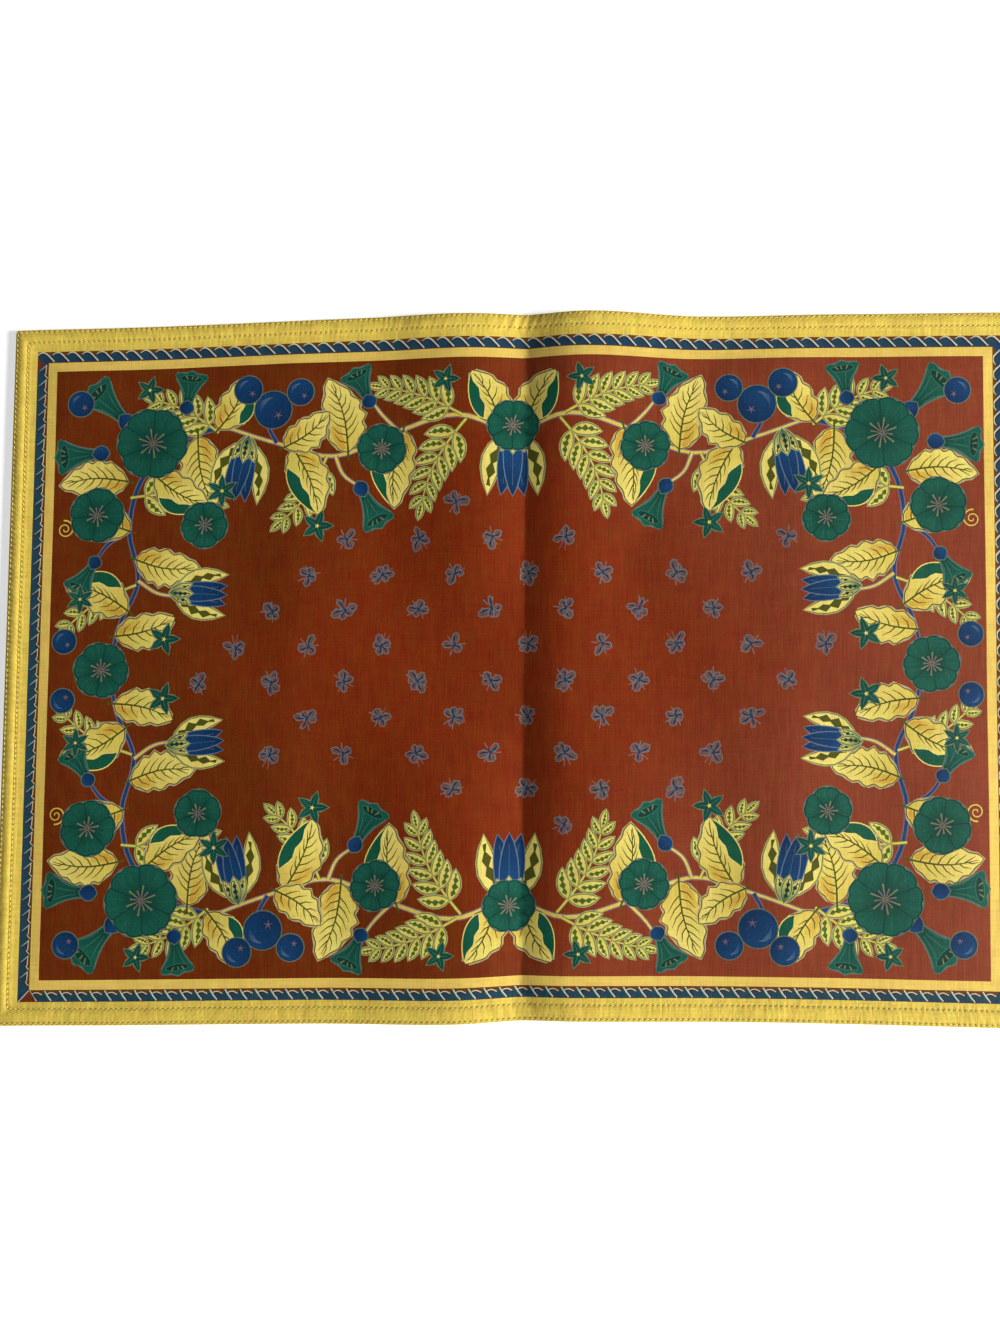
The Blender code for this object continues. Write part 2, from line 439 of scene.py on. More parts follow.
def rosette(radius, petals, spin):
    """Open flower seen from the front: broad notched petals round a dark throat, with stamens."""
    turn = around(petals * 5)
    lobe = radius * (0.90 + 0.10 * np.abs(np.sin(petals * turn / 2 + np.pi / 2))) + 0.8
    made = [area(polar(lobe, turn + spin), "cool_halo")]
    t = np.linspace(-1, 1, 11)
    rim = radius * (1 - 0.13 * t**4 - 0.05 * (np.abs(t) < 0.1))
    outline = np.vstack([(0.0, 0.0), polar(rim, t * np.pi / petals * 1.08)])
    petal = [
        area(grown(outline, 0.15), "deep_green"),
        area(grown(outline, -0.45), "deep_green", "green", (0, 0), (radius * 0.75, 0)),
    ]
    for lean in (-0.26, 0.30):
        vein = np.array([(0.46, 0.5 * lean), (0.68, 0.8 * lean), (0.86, lean)]) * (1, 0.55) * radius
        vein = stroke(vein, 0.15, 0.45, 0.15)
        petal.append(area(vein, "leaf_green", "pale_green", (0, 0), (radius * 1.8, 0)))
    made += fanned(petal, np.degrees(spin + 2 * np.pi * np.arange(petals) / petals))
    made.append(area(polar(radius * 0.19, turn[::3]), "deep_green"))
    for k in range(petals * 2):
        reach, ink = ((0.42, "halo"), (0.30, "mauve"))[k % 2]
        stamen = polar((0.4, radius * reach), spin + np.pi * (k + 0.5) / petals)
        made.append(area(stroke(stamen, 0.3, 0.4, 0.8), ink))
    return made


def bell(length, width):
    """Flower seen from the side: a narrow tube that opens to a wavy rim, in a blue calyx."""
    t = np.linspace(0, 1, 12)
    half = width / 2 * (0.20 + 0.80 * t**2.2)
    rim = np.linspace(1, -1, 15)
    rim_x = length * (1.0 + 0.11 * np.cos(rim * np.pi / 2) + 0.035 * np.cos(rim * np.pi * 2.5))
    mouth = pairs(rim_x, rim * width / 2)[1:-1]
    outline = np.vstack([pairs(length * t, half), mouth, pairs(length * t, -half)[::-1]])
    made = ringed(outline, "cool_halo", "pale_green", 0.5, 0.35)
    made.append(area(outline, "deep_green", "green", (0, 0), (length * 0.8, width * 0.2)))
    turn = around(16)
    throat = pairs(length * (0.93 + 0.09 * np.cos(turn)), width * 0.33 * np.sin(turn))
    made += [area(grown(throat, 0.3), "pale_green"), area(throat, "deep_green")]
    for lean in (-0.26, -0.06, 0.16):
        groove = pairs(length * np.array([0.34, 0.60, 0.84]), lean * width * np.array([0.4, 0.8, 1.5]))
        made.append(area(stroke(curve(groove, 3), 0.2, 0.42, 0.2), "pale_green"))
    for lean in (-0.10, 0.02, 0.12):
        stamen = [(length * 0.90, lean * width), (length * 1.0, lean * width * 1.7)]
        made.append(area(stroke(stamen, 0.4, 0.4, 0.7), "halo"))
    t = np.linspace(0, 1, 7)
    half = blade_half(t, width * 0.42, 0.9, 0.7)
    cup = pointed(length * (0.42 * t - 0.16), -half, half)
    made.append(area(grown(cup, 0.5), "cool_halo"))
    return made + [area(cup, "cobalt", "navy", (0, 0.2 * width), (0, -0.2 * width))]


def berry(radius):
    """Round fruit: darker on one side, a pale crescent of light, a small star where its flower was."""
    circle = polar(1.0, around(22))
    made = [area(circle * (radius + 0.95), "cool_halo"), area(circle * (radius + 0.4), "navy")]
    made.append(area(circle * radius, "navy", "cobalt", (-radius, -radius), (radius * 0.9, radius * 0.9)))
    glint = stroke(polar(1.0, np.linspace(-0.2, 1.5, 7)) * radius * 0.70, 0.2, radius * 0.26, 0.2)
    made.append(area(glint, "cobalt", "pale_blue", (radius * 0.9, 0), (0, radius * 0.9)))
    for k in range(5):
        dash = polar((0, radius * 0.26), 1.26 * k + 3.4) - (radius * 0.3, radius * 0.3)
        made.append(area(stroke(dash, 0.6, 0.4, 0.1), "mauve"))
    return made


def tulip(length, width):
    """Half-open flower: two pale outer petals curling away, three blue ones between them, green sepals."""
    made = []
    for side in (1, -1):
        petal = slim_leaf(length, width * 0.40, side * width * 0.16, "light_yellow", "olive")
        made += placed(petal, 0, 0, side * 21)
    t = np.linspace(0, 1, 9)
    half = blade_half(t, width * 0.36, 0.75, 0.7)
    outline = pointed(length * 0.95 * t, -half, half)
    petal = [
        area(grown(outline, 0.5), "pale_blue"),
        area(outline, "cobalt", "navy", (length * 0.2, 0), (length, 0)),
        area(stroke([(length * 0.25, 0), (length * 0.8, 0)], 0.15, 0.5, 0.15), "pale_blue"),
    ]
    sepal = slim_leaf(length * 0.40, width * 0.20, 0, "green", "deep_green")
    return made + fanned(petal, (-10, 10, 0)) + fanned(sepal, (-24, 24, 0), -length * 0.06)


def star(radius, points):
    """Small flower with pointed petals, a pale vein in each and a light eye."""
    turn = around(points * 8)
    tip = 1 - np.abs(((turn * points / (2 * np.pi)) % 1) - 0.5) * 2
    outline = polar(radius * (0.36 + 0.64 * tip**1.5), turn)
    made = ringed(outline, "halo", "pale_green", 0.5, 0.3)
    made.append(area(outline, "deep_green", "green", (-radius, 0), (radius * 1.2, 0)))
    for k in range(points):
        vein = polar((radius * 0.2, radius * 0.75), 2 * np.pi * (k + 0.5) / points)
        made.append(area(stroke(vein, 0.35, 0.3, 0.1), "pale_green"))
    return made + [area(outline * 0.16, "light_yellow")]


def tendril(size, turns):
    """Thin coil: a stroke whose distance from its eye shrinks evenly as it winds in."""
    t = np.linspace(0, 1, int(16 * turns))
    coil = polar(size * (1 - 0.88 * t), 2 * np.pi * turns * t) - (size, 0)
    return [area(stroke(coil, 0.7, 0.55, 0.45), "yellow")]


def twig(width, ink, points):
    """Stem drawn through given places, with a pale edge on both sides."""
    line = curve(points, 5)
    widths = np.array([1, 0.85, 0.6]) * width
    return [area(stroke(line, *(widths + 1.1)), "mauve"), area(stroke(line, *widths), ink)]


# The sprigs' petals and wings in columns: turn in degrees, length, width.
SPRIG_PETALS = (
    ((36, 5.9, 4.4), (144, 5.9, 4.4), (-30, 4.6, 3.6), (-150, 4.6, 3.6), (-90, 5.2, 3.2)),
    ((88, 5.2, 4.0), (180, 5.0, 3.8), (270, 5.4, 4.2), (0, 4.8, 3.8)),
    ((45, 5.0, 4.2), (135, 4.6, 4.2), (225, 5.0, 4.2), (315, 4.6, 4.0)),
    ((90, 5.6, 4.2), (208, 5.4, 4.2), (332, 5.4, 4.2)),
    ((30, 5.2, 3.8), (90, 5.6, 3.6), (150, 5.2, 3.8), (210, 5.2, 3.8), (270, 5.6, 3.6), (330, 5.2, 3.8)),
    ((8, 6.2, 4.2), (172, 6.2, 4.2), (62, 5.0, 3.8), (118, 5.0, 3.8), (-90, 5.8, 2.6)),
)
# Their feelers and whiskers in columns: turn in degrees, inner and outer end.
SPRIG_WHISKERS = (
    ((78, 1.5, 6.6), (102, 1.5, 6.6)),
    ((135, 2.0, 5.4), (232, 2.4, 5.8), (40, 2.4, 5.4)),
    ((88, 2.8, 5.2), (182, 2.8, 5.8), (268, 2.4, 5.0)),
    ((150, 2.0, 5.2), (28, 2.0, 5.4), (270, 2.2, 5.2)),
    ((60, 2.4, 6.0), (240, 2.4, 6.2)),
    ((-66, 2.6, 5.8), (-114, 2.6, 5.8)),
)
# The dark dab and the rust scratch in each petal: shares of its length and width.
SPRIG_DAB = ((0.14, 0.06), (0.50, 0.16), (0.78, 0.10))
SPRIG_SCRATCH = ((0.30, -0.24), (0.62, -0.14), (0.84, -0.16))
SPRIG_LINE = 0.42
SPRIG_PITCH, SPRIG_FIRST = (34.4, 16.75), (7.8, 9.0)
SPRIG_ROOM = 7.6


def sprig(kind, place):
    """Little line-drawn floret or winged insect of the field: rounded loops in grey line with grey middles,
    dark dabs and rust scratches in them, a teal heart and thin feelers.  Sines of its place among the others
    change each loop's turn and size, so that no two are alike."""
    made = []
    for turn, inner, outer in SPRIG_WHISKERS[kind]:
        whisker = stroke(polar((inner, outer), np.radians(turn)), 0.5, 0.4, 0.5)
        made.append(area(whisker, "sprig_line", "feeler", (0, 0), (0, outer)))
    t = np.linspace(0, 1, 7)
    for k, (turn, length, width) in enumerate(SPRIG_PETALS[kind]):
        turn += 13 * np.sin(5.1 * place + 2.9 * k)
        size = length, width = np.array([
            length * (1 + 0.18 * np.sin(3.7 * place + 4.3 * k)),
            width * (1 + 0.16 * np.sin(2.3 * place + 1.7 * k)),
        ])
        half = blade_half(t, width, 1.25, 0.6) * (1 + 0.20 * np.sin(t * 15 + turn))
        loop = pointed(length * t, -half, half)
        petal = [
            area(loop, "sprig_line"),
            area(grown(loop, -SPRIG_LINE), "sprig_fill", "ground", (0, 0), (length * 2.4, 0)),
            area(stroke(SPRIG_DAB * size, 0.4, 0.85, 0.3), "sprig_dab"),
            area(stroke(SPRIG_SCRATCH * size, 0.2, 0.5, 0.3), "ground"),
        ]
        made += placed(petal, 0, 0, turn)
    heart = stroke([(-0.3, -1.2), (0.3, 0), (-0.2, 1.2)], 0.9, 1.5, 0.8)
    return made + [area(heart, "sprig_teal", "sprig_dab", (-1, 0), (1, 0))]


# The rope border, one twist at a time, starting at 0, 0 and running along +x, with y across the rope.  On
# the back and the right runs its line curls along the first side, on the others it is a slant and a curl.
ROPE_OUTER, ROPE_INNER, FIELD_EDGE = 10.9, 16.4, 20.8
ROPE_LOBE = 7.15
# The left run starts this far from the back corner, a brown line this wide edges the rope's inner side, and
# the last twist of a run leans this far past its pitch.
LEFT_RUN_START = 6.5
BROWN_EDGE = 0.35
LAST_LEAN = 1.2
ROPE_LINE = np.array([
    (0.0, 1.50), (0.7, 0.90), (1.6, 0.46), (2.8, 0.28), (4.1, 0.80), (5.4, 1.95), (6.8, 3.45), (8.1, 4.8),
])
LEFT_SLANT = np.array([(-0.2, 0.9), (0.5, 1.6), (1.4, 2.7), (2.2, 3.7), (2.7, 4.5)])
LEFT_CURL = np.array([(0.0, 1.0), (2.0, 1.25), (4.0, 1.35), (4.7, 1.9), (5.5, 1.3), (6.6, 0.1)])
FRONT_SLANT = np.array([(0.0, -0.1), (0.9, 1.5), (1.9, 3.0), (2.9, 4.2), (3.5, 4.8), (3.2, 5.2)])
FRONT_CURL = np.array([(1.3, 2.1), (2.4, 1.4), (3.8, 1.2), (5.0, 1.7), (6.1, 2.3)])


def curled_twist():
    """Twist of the back and right runs: its blue body, brown in the notch after it, the cream line round it
    and a dark line along its far side."""
    body = np.vstack([ROPE_LINE, [(8.0, 5.3), (1.5, 5.3)]])
    notch = [(3.9, 0.0), (4.3, 0.8), (5.2, 1.6), (7.0, 1.5), (7.8, 0.8), (8.6, 0.3), (8.9, 0.0)]
    return [
        area(body, "rope_teal", "rope_blue", (0.5, 0), (6.5, 2)),
        area(notch, "rope_shade"),
        area([(0.3, 5.5), (1.15, 4.7), (2.1, 5.5)], "rope_shade"),
        area(stroke(ROPE_LINE[2:] - (0.5, -0.55), 0.3, 0.6, 0.6), "rope_dark"),
        area(stroke(ROPE_LINE, 0.45, 0.68, 0.7), "rope_line", "rope_pale", (3, 0), (8, 0)),
    ]


def slanted_twist(slant, curl, weight, far_ink):
    """Twist of the left and front runs: a slant over the blue body in a line of some weight that changes its
    ink, and a thinner cream curl over the brown that shows along the first side."""
    under = np.vstack([curl, [(7.3, -0.1), (0.2, -0.1)]])
    return [
        area([(0.0, 0.0), (3.5, 5.5), (10.5, 5.5), (7.0, 0.0)], "rope_blue", "rope_teal", (1, 4), (6, 1)),
        area([(3.3, 5.55), (3.6, 5.0), (4.3, 4.8), (5.0, 5.1), (5.1, 5.55)], "rope_shade"),
        area(under, "rope_shade"),
        area(stroke(curl + (0.1, 0.45), 0.3, 0.6, 0.3), "rope_dark"),
        area(stroke(slant + (0.55, -0.1), 0.3, 0.6, 0.3), "rope_dark"),
        area(stroke(slant, weight, weight, 0.8 * weight), "rope_line", far_ink, (0, 0), (2.2, 2.2)),
        area(stroke(curl, 0.4, 0.5, 0.45), "rope_line"),
    ]


def rope_run(twist, start, turn, length, is_first_on_top=True):
    """Whole twists side by side from a start, their pitch stretched a little to fill the length."""
    count = round(length / ROPE_LOBE)
    step = (length - LAST_LEAN) / count
    along = polar(1, np.radians(turn))
    made = []
    for k in (reversed(range(count)) if is_first_on_top else range(count)):
        made += placed(twist, *(start + along * step * k), turn, -1)
    return made


# The lines that the flat cloth bends on: close together beside the crease, further apart elsewhere.
NEAR_CREASE = np.array([-3.2, -1.8, -0.9, -0.4, 0.0, 0.4, 0.9, 1.8, 3.2])
COLUMNS = np.concatenate([
    np.arange(-224, -70, 7.0), np.arange(-66.7, 2, 2.5), CREASE_X + NEAR_CREASE, np.arange(11.5, 62, 2.5),
    np.arange(66, 228, 7.0),
])
ROWS = np.arange(-150, 151, 6.0)


def band_edge(inset):
    """Rectangle at a distance inside the edge, with points where the cloth's columns and rows meet it."""
    half_x, half_y = HALF_X - inset, HALF_Y - inset
    x = COLUMNS[np.abs(COLUMNS) < half_x - 2]
    y = ROWS[np.abs(ROWS) < half_y - 2]
    return np.vstack([
        pairs(np.append(-half_x, x), -half_y), pairs(half_x, np.append(-half_y, y)),
        pairs(np.append(half_x, x[::-1]), half_y), pairs(-half_x, np.append(half_y, y[::-1])),
    ])


# The garland's twigs, in one quarter of the field from its middle out: width, ink, places.
TWIGS = (
    (1.8, "yellow", ((0, 108), (26, 117), (54, 110), (84, 99), (112, 106), (138, 115))),
    (1.8, "cobalt", ((138, 115), (160, 108), (177, 90), (182, 66), (177, 42), (186, 20), (190, 0))),
    (1.3, "yellow", ((54, 110), (62, 118), (68, 126))),
    (1.3, "cobalt", ((112, 106), (116, 114), (114, 122))),
    (1.3, "yellow", ((84, 99), (80, 90), (72, 84))),
    (1.3, "cobalt", ((160, 108), (160, 118), (156, 126))),
    (1.3, "cobalt", ((182, 66), (192, 60), (198, 52))),
    (1.3, "yellow", ((177, 42), (168, 36), (158, 34))),
)
# Motifs over the twigs, kind by kind, in columns: x, y, turn in degrees, flip, and the kind's own sizes.
MOTIFS = (
    (tendril, (
        (44, 124, 200, 1, 4.6, 2.0), (94, 84, -30, 1, 4.4, 1.8),
        (150, 98, 160, -1, 4.4, 2.0), (214, 72, 80, 1, 4.4, 1.8),
    )),
    (fern, (
        (24, 117, 18, 1, 40, 6, 14, 3), (22, 115, -66, 1, 44, 6, 15, 5), (88, 99, -52, -1, 36, 5, 14, 4),
        (140, 112, 26, 1, 34, 5, 14, 3), (182, 82, -172, 1, 40, 6, 14, -4), (178, 40, -34, 1, 38, 5, 13, 4),
    )),
    (leaf, (
        (6, 112, 62, -1, 29, 16, -2, 7, True), (52, 110, -84, 1, 36, 18, 2.5, 8, True),
        (78, 101, 74, 1, 36, 18, 2.5, 8, False), (104, 103, -112, 1, 34, 17, -2, 8, True),
        (108, 104, 142, 1, 26, 14, 2, 7, False), (140, 114, 118, 1, 27, 15, 2, 7, True),
        (150, 110, -104, 1, 35, 18, 2.5, 8, False), (170, 92, -150, 1, 30, 16, 2, 7, True),
        (184, 90, -2, 1, 32, 16, 2.5, 8, False), (182, 66, 30, -1, 30, 16, 2, 7, True),
        (178, 52, -172, 1, 30, 16, 2.5, 8, False), (182, 28, 24, 1, 33, 17, 2.5, 8, True),
        (187, 16, 164, 1, 29, 15, 2, 7, False),
    )),
    (bell, (
        (68, 124, 64, 1, 16, 16), (72, 84, -118, 1, 19, 16), (156, 124, 98, 1, 16, 16),
        (184, 118, 44, 1, 23, 19), (196, 104, -4, 1, 20, 17), (198, 52, -58, 1, 16, 15),
    )),
    (tulip, ((126, 108, -78, 1, 31, 21), (160, 36, -176, 1, 27, 19))),
    (rosette, (
        (62, 102, 0, 1, 11.5, 6, 0.3), (172, 108, 0, 1, 17.0, 6, 0.1), (198, 74, 0, 1, 13.0, 5, 0.5),
        (146, 68, 0, 1, 11.0, 5, 0.9),
    )),
    (berry, (
        (114, 122, 0, 1, 8.4), (126, 132, 0, 1, 6.2), (101, 130, 0, 1, 5.8), (207, 128, 0, 1, 5.6),
        (212, 14, 0, 1, 5.2),
    )),
    (star, (
        (32, 134, 0, 1, 6.6, 5), (92, 66, 0, 1, 7.5, 5), (138, 84, 0, 1, 7.5, 6), (174, 134, 0, 1, 6.5, 5),
        (164, 14, 0, 1, 7.5, 5), (205, 34, 0, 1, 6.5, 6),
    )),
)
# Motifs on the field's two middle lines, drawn twice and not four times: the same columns.
MIDDLE_MOTIFS = ((tulip, ((0, 110, -90, 1, 33, 24),)), (rosette, ((0, 112, 0, 1, 12.0, 6, 0.0),)))
SIDE_MOTIFS = ((rosette, ((194, 0, 0, 1, 13.0, 6, 0.2),)),)


def drawn(motifs):
    """All areas of a table of motifs."""
    made = []
    for kind, rows in motifs:
        for x, y, turn, flip, *sizes in rows:
            made += placed(kind(*sizes), x, y, turn, flip)
    return made


def sprigs(garland):
    """Rows of sprigs, each row half a pitch along from the last, wherever the garland leaves them room."""
    drawn_over = np.vstack([one["outline"] for one in garland])
    made = []
    for j in range(-6, 6):
        is_odd = j % 2
        for i in range(-5, 5):
            x = SPRIG_FIRST[0] + SPRIG_PITCH[0] * (i + 0.5 * is_odd)
            y = SPRIG_FIRST[1] + SPRIG_PITCH[1] * j
            if np.hypot(*(drawn_over - (x, y)).T).min() > SPRIG_ROOM:
                kind = (3 * i + 2 * j) % len(SPRIG_PETALS)
                turn = 30 * np.sin(7.1 * i + 3.3 * j)
                made += placed(sprig(kind, i + 0.4 * j), x, y, turn, 1 - 2 * is_odd)
    return made


def whole_print():
    """Every area of the printed face, lowest first."""
    x, y = HALF_X - ROPE_OUTER, HALF_Y - ROPE_OUTER
    rope = ROPE_INNER - ROPE_OUTER
    left = slanted_twist(LEFT_SLANT, LEFT_CURL, 0.52, "rope_slate")
    front = slanted_twist(FRONT_SLANT, FRONT_CURL, 0.68, "rope_pale")
    left_end = np.array([(0, -1.5), (0, -9.5), (3.8, -5.4), (2.0, -3.6)]) + (-x, y)
    front_end = [(-x, -y), (rope - x, rope - y), (rope - x + 2.9, 1.2 - y), (rope - x + 3.1, -y)]
    areas = [area(band_edge(ROPE_OUTER), "rope_blue"), area(left_end, "rope_rust")]
    areas += rope_run(left, (rope - x, y - LEFT_RUN_START), -90, 2 * y - LEFT_RUN_START - rope, False)
    areas += rope_run(curled_twist(), (-x, y), 0, 2 * x)
    areas += rope_run(front, (rope - x, rope - y), 0, 2 * (x - rope), False)
    areas.append(area(front_end, "rope_rust"))
    areas.append(area(stroke([(rope - x, rope - y), (-x + 0.4, -y)], 0.45), "rope_line"))
    areas += rope_run(curled_twist(), (x - rope, -y), 90, 2 * y - rope)
    inner_bands = ((ROPE_INNER - BROWN_EDGE, "rope_shade"), (ROPE_INNER, "band"), (FIELD_EDGE, "ground"))
    areas += [area(band_edge(inset), ink) for inset, ink in inner_bands]
    garland = []
    for group in ([one for row in TWIGS for one in twig(*row)], drawn(MOTIFS)):
        for over_x, over_y in ((-1, 1), (1, 1), (-1, -1), (1, -1)):
            garland += mirrored(group, over_x, over_y)
    middle, sides = drawn(MIDDLE_MOTIFS), drawn(SIDE_MOTIFS)
    garland += middle + mirrored(middle, 1, -1) + sides + mirrored(sides, -1, 1)
    return areas + sprigs(garland) + garland


# The triangulation keeps only what lies inside an outline, and takes corners this close together as one.
ONLY_INSIDE, SAME_PLACE = 1, 1e-4


def cut(border, outlines, edges, points):
    """Triangles inside a border, cut along outlines and edges: a constrained Delaunay triangulation.
    Returns the corners' places, the triangles, the last outline over each, and each corner's origin."""
    rings = [ring if swing(ring) > 0 else ring[::-1] for ring in [border] + outlines]
    ends = np.cumsum([len(ring) for ring in rings])
    faces = [list(range(end - len(ring), end)) for end, ring in zip(ends, rings)]
    places = np.vstack(rings + [points])
    edges = (np.asarray(edges, int).reshape(-1, 2) + ends[-1]).tolist()
    made = delaunay_2d_cdt([Vector(place) for place in places], edges, faces, ONLY_INSIDE, SAME_PLACE, True)
    corners = np.array([tuple(corner) for corner in made[0]])
    origin = np.array([min(ids, default=len(places)) for ids in made[3]])
    return corners, np.array(made[2]), np.array([max(ids, default=0) for ids in made[5]]), origin


def visible_lines(triangles, topmost):
    """Edges of the triangles whose two sides show different areas, as pairs of corners."""
    edges = np.sort(np.vstack([triangles[:, [0, 1]], triangles[:, [1, 2]], triangles[:, [2, 0]]]), axis=1)
    edges, side = np.unique(edges, axis=0, return_inverse=True)
    low, high = np.full(len(edges), topmost.max()), np.zeros(len(edges), int)
    np.minimum.at(low, side.ravel(), np.tile(topmost, 3))
    np.maximum.at(high, side.ravel(), np.tile(topmost, 3))
    return edges[low != high]


def straightened(places, lines, tolerance=0.025, longest=4.0, rounds=6):
    """Lines without the corners that stray less than the tolerance from the straight line between their two
    neighbours.  No two corners that are neighbours go in one round, and no joined line gets too long."""
    for _ in range(rounds):
        ends = np.vstack([lines, lines[:, ::-1]])
        ends = ends[np.argsort(ends[:, 0], kind="stable")]
        corner, first, count = np.unique(ends[:, 0], return_index=True, return_counts=True)
        corner, first = corner[count == 2], first[count == 2]
        one, other = ends[first, 1], ends[first + 1, 1]
        across = places[other] - places[one]
        reach = np.maximum(np.hypot(*across.T), 1e-9)
        strays = np.abs(crossed(across, places[corner] - places[one])) / reach
        fits = (strays < tolerance) & (reach < longest)
        rank = np.full(len(places), -1)
        rank[corner[fits]] = corner[fits]
        goes = fits & (rank[one] < corner) & (rank[other] < corner)
        gone = np.isin(lines, corner[goes]).any(axis=1)
        lines = np.vstack([lines[~gone], np.stack([one[goes], other[goes]], 1)])
    return np.unique(np.sort(lines, axis=1), axis=0)


def printed_surface(areas, border, points):
    """The face cut along the areas' visible edges: corners, triangles, colour of each triangle's corners.
    All areas are laid over each other first, then only the lines that show are cut, without hidden ones.
    A colour's fourth number is 1 where there is ink over the ground and 0 on the bare ground."""
    outlines = [one["outline"] for one in areas]
    all_corners, all_triangles, topmost, _ = cut(border, outlines, [], np.empty((0, 2)))
    lines = straightened(all_corners, visible_lines(all_triangles, topmost))
    used, lines = np.unique(lines, return_inverse=True)
    places = np.vstack([all_corners[used], points])
    corners, triangles, _, origin = cut(border, [], lines.reshape(-1, 2), places)
    tree = BVHTree.FromPolygons([(x, y, 0.0) for x, y in all_corners], all_triangles.tolist())
    middles = corners[triangles].mean(axis=1)
    below = [tree.ray_cast(Vector((x, y, 1.0)), Vector((0.0, 0.0, -1.0)))[2] for x, y in middles]
    shown = topmost[np.array([0 if index is None else index for index in below])]
    layers = [area([], "hem")] + areas
    inks = np.array([[INKS[ink] + (ink != "ground",) for ink in one["inks"]] for one in layers])[shown]
    blend = np.array([one["blend"] for one in layers])[shown]
    way = blend[:, 1] - blend[:, 0]
    along = ((corners[triangles] - blend[:, None, 0]) * way[:, None]).sum(axis=2)
    share = np.clip(along / (way**2).sum(axis=1)[:, None], 0, 1)[..., None]
    return corners, triangles, mix(inks[:, None, 0], inks[:, None, 1], share), origin


# ---- The mat ------------------------------------------------------------------------------------------
# The cloth itself as one closed mesh: a ring of stations round the hem for its fold, its puffed top and
# the dips of its stitches, the printed face inside it, and the wrong side, where the print shows through.
STATIONS = len(hem_loop(0.0))
HOLE_DEPTH = 0.42
GHOST_CELL = 6.0
GHOST_STRENGTH = 0.55
WRONG_SIDE = (0.33, 0.17, 0.10)


def ring_quads(stations, loops, first=0):
    """Quads between neighbouring loops of so many stations each, the first loop starting at an index."""
    station = np.arange(stations)
    following = (station + 1) % stations
    rows = first + stations * np.arange(loops - 1)[:, None]
    beyond = rows + stations
    quads = np.stack([rows + station, rows + following, beyond + following, beyond + station], -1)
    return quads.reshape(-1, 4)


def split(quads):
    """Two triangles for each quad."""
    return np.vstack([quads[:, [0, 1, 2]], quads[:, [0, 2, 3]]])


def is_hole(insets):
    """1 at the needle holes of a ring's stations: every second one, on the two rows of stitches."""
    on_row = np.isin(insets, STITCH_ROWS)[:, None]
    return (on_row & (np.arange(STATIONS) % 2 == 0)).astype(float).ravel()


def facing(x, y, height, step=0.12):
    """Upward normals of a height over the flat cloth, from places a small step to each side."""
    along = laid(x + step, y, height(x + step, y)) - laid(x - step, y, height(x - step, y))
    across = laid(x, y + step, height(x, y + step)) - laid(x, y - step, height(x, y - step))
    return unit(np.cross(along, across) / step**2)


def crossings(columns, rows):
    """Places where columns and rows cross."""
    return np.stack(np.meshgrid(columns, rows), -1).reshape(-1, 2)


def ghost(corners, triangles, inks, at):
    """Colour that soaks through to the wrong side: the print averaged over square cells of the cloth."""
    sides = corners[triangles[:, 1:]] - corners[triangles[:, :1]]
    size = np.abs(crossed(sides[:, 0], sides[:, 1])) / 2
    columns = int(MAT_LENGTH / GHOST_CELL) + 2
    cells = columns * (int(MAT_WIDTH / GHOST_CELL) + 2)

    def cell(places):
        step = np.rint((places + (HALF_X, HALF_Y)) / GHOST_CELL).astype(int)
        return step[:, 1] * columns + step[:, 0]

    held = cell(corners[triangles].mean(axis=1))
    covered = np.bincount(held, size, cells)[:, None]
    inked = inks[..., :3].mean(axis=1)
    total = np.stack([np.bincount(held, size * inked[:, k], cells) for k in range(3)], 1)
    soaked = np.where(covered < 1e-3, INKS["ground"], total / np.maximum(covered, 1e-6))
    return mix(np.array(WRONG_SIDE), soaked[cell(at)], GHOST_STRENGTH)


inner_edge = hem_loop(HEM_INNER)
face, face_triangles, face_inks, face_origin = printed_surface(
    whole_print(), inner_edge, crossings(COLUMNS, ROWS),
)
under_grid = crossings(np.arange(-228, 229, GHOST_CELL), np.arange(-152, 153, GHOST_CELL))
under, under_triangles, _, under_origin = cut(inner_edge, [], [], under_grid)

# Corners in this order: the hem's top loops from the fold inwards, the printed face's inner corners, the
# hem's underside loops (which share the fold's), and the wrong side's inner corners.
top_insets, under_insets = np.array(HEM_TOP)[:, 0], np.array(HEM_UNDERSIDE)[:, 0]
top_ring = np.vstack([hem_loop(inset) for inset in top_insets])
under_ring = np.vstack([hem_loop(inset) for inset in under_insets[1:]])
is_inner, is_under_inner = face_origin >= STATIONS, under_origin >= STATIONS
flat = np.vstack([top_ring, face[is_inner], under_ring, under[is_under_inner]])
starts = np.cumsum([0, len(top_ring), is_inner.sum(), len(under_ring)])


def joined(triangles, is_inner, origin, start):
    """Triangles of a face by the whole mesh's corners: its inner corners come from a start, and those on its
    border are the last loop of stations before it."""
    return np.where(is_inner, start + np.cumsum(is_inner) - 1, origin + start - STATIONS)[triangles]


top_quads = split(ring_quads(STATIONS, len(top_insets)))
under_quads = ring_quads(STATIONS, len(under_insets), starts[2] - STATIONS)
under_quads[:STATIONS, :2] -= starts[2] - STATIONS
patches = (
    top_quads, joined(face_triangles, is_inner, face_origin, starts[1]),
    split(under_quads)[:, ::-1], joined(under_triangles, is_under_inner, under_origin, starts[3])[:, ::-1],
)
triangles = np.vstack(patches)
patch_of = np.repeat(np.arange(4), [len(patch) for patch in patches])
is_face, is_wrong_side, is_below = patch_of == 1, patch_of == 3, patch_of >= 2

